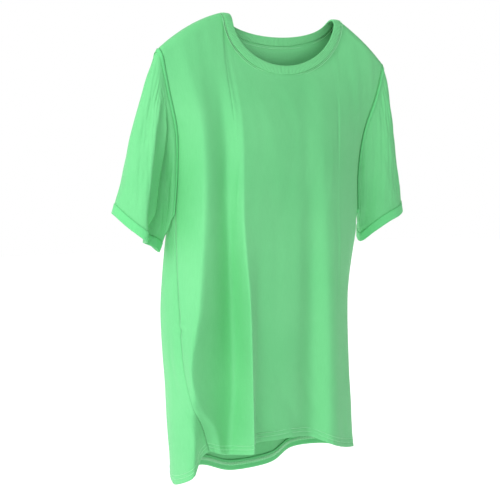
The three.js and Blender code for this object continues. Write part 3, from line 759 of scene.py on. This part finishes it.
def sleeve_grid(sleeve, seed, deep_fold, around=300, rows=120):
    """The sleeve's surface: a low ridge by the armhole, a flat hem, and the wrinkles that run
    slantwise from the armhole towards the hem. deep_fold adds the crease in front, the lobe
    of cloth that hangs over it, and the puckers where both start. WRINKLES are sine waves
    (count round the sleeve, count down it, height)."""
    turn = np.linspace(0, 1, around, endpoint=False)
    down = np.linspace(0, 1, rows) ** 1.12
    turns, t = np.meshgrid(turn, down)
    grid = sleeve.at(turns, t)
    normals = normals_of(grid, True) * sleeve.sign
    along_it = run(grid, 0)
    left = along_it[-1:] - along_it
    rise = 0.3 * bump(along_it, SEAM_RIDGE_AT, SEAM_RIDGE_WIDTH)
    in_hem = 1 - smooth(left, 11, 17)
    rise = rise + in_hem * (0.5 + 0.3 * np.sin(turns * 2 * np.pi * 23))
    rise = rise - 0.45 * bump(left, SLEEVE_STITCH_ROW, 1.3)
    calm = smooth(along_it, 4, 30) * smooth(left, 14, 50)
    wave = sum(height * np.sin(2 * np.pi * (round_it * turns + down_it * t) + (n + 1) * seed)
               for n, (round_it, down_it, height) in enumerate(WRINKLES))
    fine = np.sin(2 * np.pi * (24 * turns + 1.6 * t) + seed)
    fine = fine * np.sin(2 * np.pi * (3.1 * t + 2 * turns) + seed)
    wave = wave + 0.4 * bump(turns, 0.5, 0.2) * fine
    if deep_fold:
        crease = bump(turns, CREASE_TURN, CREASE_WIDTH) * smooth(t, 0.02, 0.25)
        lobe = bump(turns, LOBE_TURN, LOBE_WIDTH) * smooth(t, 0.03, 0.35)
        puckers = np.sin(2 * np.pi * 24 * t) * bump(t, 0.1, 0.09) * bump(turns, PUCKER_TURN, PUCKER_WIDTH)
        wave = wave - CREASE_DEPTH * crease + LOBE_HEIGHT * lobe + PUCKER_HEIGHT * puckers
    return grid + normals * (rise + calm * wave)[..., None]


sleeves, sleeve_pieces = {}, {}
for side, cuff, sign, deep_fold in (("right", RIGHT_CUFF, -1, FRONT_FOLD), ("left", LEFT_CUFF, 1, {})):
    sleeve = Sleeve(cuff, sign, deep_fold)
    grid = sleeve_grid(sleeve, 1.7 if sign < 0 else 0.4, bool(deep_fold))
    made = [cloth(f"{side}_sleeve_cloth", grid, 0, -CLOTH, sign, JERSEY, closed=True)]
    turn = np.linspace(0, 1, 216, endpoint=False)[None].repeat(7, 0)
    down = 1 - mix(SLEEVE_FOLD, 0.2, np.linspace(0, 1, 7))[:, None] / sleeve.length(turn)
    inner = -CLOTH - FACING_GAP
    made.append(cloth(f"{side}_sleeve_hem_turn", sleeve.at(turn, down), inner, inner - FACING, sign,
                      INSIDE, closed=True))
    ring = sleeve.ring(SLEEVE_STITCH_ROW)
    n = (normals_of(ring, True) * -sign)[1]
    loop, n = np.concatenate([ring[1], ring[1][:1]]), np.concatenate([n, n[:1]])
    made.append(stitch_row(f"{side}_sleeve_stitches", loop, n, THREAD))
    sleeves[side], sleeve_pieces[side] = sleeve, made
    print(side, "sleeve pieces:", [o.name for o in made])

# %% [markdown]
# ## The neckband
# The band is a strip of rib, folded double and sewn into the neck. Its section is a flat
# loop: the face, the rolled upper edge and the inside. The section is carried round the
# neck seam, and two rows of stitches run beside the seam.

# %% Neckband
FRONT_NECK_Y, BACK_NECK_Y = -12.6, 11.6
NECK_ROWS = (("neck_stitches", -1.6, -0.9), ("neck_stitches_outer", -4.2, -1.2))
BAND_LENGTH, BAND_SECTION = 560.0, 32.0


def neck_point(turn, inset):
    """A point of the neck ring drawn in by inset: turn 0 is the left shoulder point, a quarter
    the front centre and three quarters the back centre."""
    angle = 2 * np.pi * turn
    front = np.sin(angle) > 0
    drop = np.where(front, FRONT_NECK_DROP, BACK_NECK_DROP)
    x = (NECK_HALF_WIDTH - inset) * np.cos(angle)
    z = -(drop - inset) * np.abs(np.sin(angle))
    y = mix(RIDGE_Y, np.where(front, FRONT_NECK_Y, BACK_NECK_Y), round_over(-z))
    return np.stack([x, y, z], axis=-1)


def neck_normals(turn, inset):
    grid = np.stack([neck_point(turn, inset - 0.5), neck_point(turn, inset), neck_point(turn, inset + 0.5)])
    return -normals_of(grid, True)[1]


def neckband():
    """The band's section, a flat loop with a round upper edge, carried round the neck."""
    turn = np.linspace(0, 1, 360, endpoint=False)
    half = BAND_THICKNESS / 2
    w = np.linspace(0, 1, 13)
    bend = np.linspace(0, np.pi, 9)[1:-1]
    inset = np.concatenate([w * (BAND_WIDTH - half), BAND_WIDTH - half + half * np.sin(bend),
                            w[::-1] * (BAND_WIDTH - half)])
    lift = np.concatenate([w * 0 + half, half * np.cos(bend), w * 0 - half])
    lift = lift + np.concatenate([0.35 * bump(w, 0.45, 0.35), bend * 0, -0.2 * bump(w, 0.45, 0.35)])
    grid = np.stack([neck_point(turn, i) for i in inset])
    out = np.stack([neck_normals(turn, i) for i in inset])
    points = grid + out * (lift - half)[:, None, None]
    rows, count = points.shape[:2]
    j, i = np.meshgrid(np.arange(rows), np.arange(count), indexing="ij")
    j, i = j.ravel(), i.ravel()
    at = lambda dj, di: (j + dj) % rows * count + (i + di) % count
    faces = np.stack([at(0, 0), at(1, 0), at(1, 1), at(0, 1)], axis=-1)
    flat = lambda dj, di: np.stack([(i + di) / count * BAND_LENGTH, (j + dj) / rows * BAND_SECTION], axis=-1)
    uv = np.stack([flat(0, 0), flat(1, 0), flat(1, 1), flat(0, 1)], axis=1)
    return make_mesh("neckband_rib", points.reshape(-1, 3), faces, uv, RIB)


band = neckband()
turn = np.linspace(0, 1, 721)
neck_rows = []
for name, inset, lift in NECK_ROWS:
    n = neck_normals(turn[:-1], inset)
    n = np.concatenate([n, n[:1]])
    neck_rows.append(stitch_row(name, neck_point(turn, inset) + n * lift, n, THREAD, pitch=2.6))
print("neckband:", len(band.data.polygons), "faces")

# %% [markdown]
# ## Seam allowances
# Inside the top each seam is a narrow overlocked strip, pressed to one side. They show
# through the neck, the hem and the sleeve ends, and they make the seams stand a little.

# %% Seams
SEAM_FACE, SEAM_BACK = -1.6, -2.3


def panel_strip(panel, facing, name, s, z):
    """A strip of seam allowance that follows the panel just inside it."""
    return cloth(name, panel.at(s, z), SEAM_FACE, SEAM_BACK, facing, INSIDE)


seams = []
for side, place, sign in (("right", 0.0, 1), ("left", 1.0, -1)):
    share, up = np.meshgrid(np.linspace(0.3, 6.5, 6), np.linspace(0, 1, 120))
    s = place + sign * share / BACK.girth
    z = mix(BACK.hem(s) + 2, ARMPIT[0] - 3, up)
    seams.append(panel_strip(BACK, -1, f"{side}_side_allowance", s, z))
    place_in, place_out = BACK.place_of(-sign * (NECK_HALF_WIDTH + 3.0)), BACK.place_of(-sign * 221.0)
    s, below = np.meshgrid(np.linspace(place_in, place_out, 50), np.linspace(8.0, 1.0, 6))
    order = slice(None, None, -1) if place_in > place_out else slice(None)
    z = BACK.top(s) - below
    seams.append(panel_strip(BACK, -1, f"{side}_shoulder_allowance", s[:, order], z[:, order]))
    sleeve = sleeves[side]
    turn = np.linspace(0, 1, 200, endpoint=False)[None].repeat(5, 0)
    down = np.linspace(0.8, 6.5, 5)[:, None] / sleeve.length(turn)
    made = cloth(f"{side}_armhole_allowance", sleeve.at(turn, down), SEAM_FACE, SEAM_BACK, sleeve.sign,
                 INSIDE, closed=True)
    sleeve_pieces[side].append(made)
print("seam pieces:", [o.name for o in seams])

# %% [markdown]
# ## Joining the pieces to the frame
# A table says which CAD node each piece stands for, and that node is hidden. The body's
# pieces ride on the body called top; the sleeve pieces only have their placing baked into
# their meshes.

# %% Ride and replace
NODE_OF = {"front": "front_panel", "back": "back_panel"}
NODE_OF.update(neckband_rib="neckband", neck_stitches="neckband_stitch")
for side in ("front", "back"):
    NODE_OF[f"{side}_hem_turn"] = f"{side}_hem_facing"
    for row in (1, 2):
        NODE_OF[f"{side}_hem_stitches_{row}"] = f"{side}_hem_stitch_{row}"
for side in ("right", "left"):
    NODE_OF[f"{side}_side_allowance"] = f"{side}_side_seam"
    NODE_OF[f"{side}_shoulder_allowance"] = f"{side}_shoulder_seam"
    NODE_OF[f"{side}_armhole_allowance"] = f"{side}_armhole_seam"
    NODE_OF[f"{side}_sleeve_cloth"] = f"{side}_sleeve"
    NODE_OF[f"{side}_sleeve_hem_turn"] = f"{side}_sleeve_hem_facing"
    NODE_OF[f"{side}_sleeve_stitches"] = f"{side}_sleeve_hem_stitch"

body_pieces = [front, back, *hems["front"], *hems["back"], band, *neck_rows, *seams]
for piece in body_pieces:
    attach(piece, "top")
for side, sign in (("right", -1), ("left", 1)):
    for piece in sleeve_pieces[side]:
        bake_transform(piece)
for piece in body_pieces + sleeve_pieces["right"] + sleeve_pieces["left"]:
    if piece.name in NODE_OF:
        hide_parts(NODE_OF[piece.name])
for side in ("right", "left"):
    made = sleeve_pieces[side]
    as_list(made[1:])

# %% [markdown]
# ## Floor, light and camera
# A white floor far below, and one large soft light from the wearer's right, in front and a
# little above, which brightens every slope that faces it and leaves the folds' other
# sides darker. The surround is white wherever it is seen, but as a light it falls to less
# than half on the wearer's left and in front, so that side of each fold has its shade.

# %% Floor
floor_mesh = bpy.data.meshes.new("floor")
FLOOR_REACH, FLOOR_LEVEL = 12.0, -1.25
corners = [(x * FLOOR_REACH, y * FLOOR_REACH, FLOOR_LEVEL) for x, y in ((-1, -1), (1, -1), (1, 1), (-1, 1))]
floor_mesh.from_pydata(corners, [], [(0, 1, 2, 3)])
floor = bpy.data.objects.new("floor", floor_mesh)
bpy.context.scene.collection.objects.link(floor)
pale = Nodes("pale floor")
pale.shader.inputs["Base Color"].default_value = rgb(0.9, 0.9, 0.9)
pale.shader.inputs["Emission Color"].default_value = rgb(1, 1, 1)
pale.shader.inputs["Emission Strength"].default_value = 0.5
pale.shader.inputs["Roughness"].default_value = 0.9
floor_mesh.materials.append(pale.material)
floor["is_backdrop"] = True
print("floor at", FLOOR_LEVEL, "m")

# %% Surround
world = bpy.data.worlds.new("studio")
bpy.context.scene.world = world
world.use_nodes = True
sky = world.node_tree.nodes
DIM_SIDE, AWAY, TOWARDS, FULL, DIM = (0.45, -0.89, 0.0), -0.1, 0.4, 1.0, 0.4
way = sky.new("ShaderNodeTexCoord").outputs["Generated"]
toward = sky.new("ShaderNodeVectorMath")
toward.operation = "DOT_PRODUCT"
toward.inputs[1].default_value = DIM_SIDE
fall = sky.new("ShaderNodeMapRange")
for index, value in enumerate((AWAY, TOWARDS, FULL, DIM)):
    fall.inputs[index + 1].default_value = value
world.node_tree.links.new(way, toward.inputs[0])
world.node_tree.links.new(toward.outputs["Value"], fall.inputs[0])
seen = sky.new("ShaderNodeMath")
seen.operation = "MAXIMUM"
world.node_tree.links.new(sky.new("ShaderNodeLightPath").outputs["Is Camera Ray"], seen.inputs[0])
world.node_tree.links.new(fall.outputs[0], seen.inputs[1])
world.node_tree.links.new(seen.outputs[0], sky["Background"].inputs[1])
sky["Background"].inputs[0].default_value = rgb(1, 1, 1)
print("surround:", FULL, "falling to", DIM)

# %% Light and camera
LAMP_PLACE, LAMP_TARGET, LAMP_SIZE, LAMP_POWER = (-1.92, -1.0, 0.66), (0, 0, -0.35), 1.3, 31
CAMERA_PLACE, CAMERA_TARGET = (-1.6315, -2.0882, -0.214), (-0.0378, 0.0296, -0.375)


def point_at(name, data, place, target):
    """An object that stands at place and looks at target."""
    obj = bpy.data.objects.new(name, data)
    bpy.context.scene.collection.objects.link(obj)
    obj.location = place
    obj.rotation_euler = (Vector(target) - Vector(place)).to_track_quat("-Z", "Y").to_euler()
    return obj


light = bpy.data.lights.new("key", "AREA")
light.shape, light.size, light.energy = "DISK", LAMP_SIZE, LAMP_POWER
point_at("key", light, LAMP_PLACE, LAMP_TARGET)
lens = bpy.data.cameras.new("camera")
lens.sensor_width, lens.lens = 36.0, 118.3
bpy.context.scene.camera = point_at("camera", lens, CAMERA_PLACE, CAMERA_TARGET)
bpy.context.scene.view_settings.view_transform = "Standard"
print("camera at", CAMERA_PLACE)

# %% Sizes, then finish
low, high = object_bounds()
{"cad": [list(cad_low), list(cad_high)], "visual": [list(low), list(high)]}
print("visual box, mm:", [round(v / MM) for v in low], [round(v / MM) for v in high])
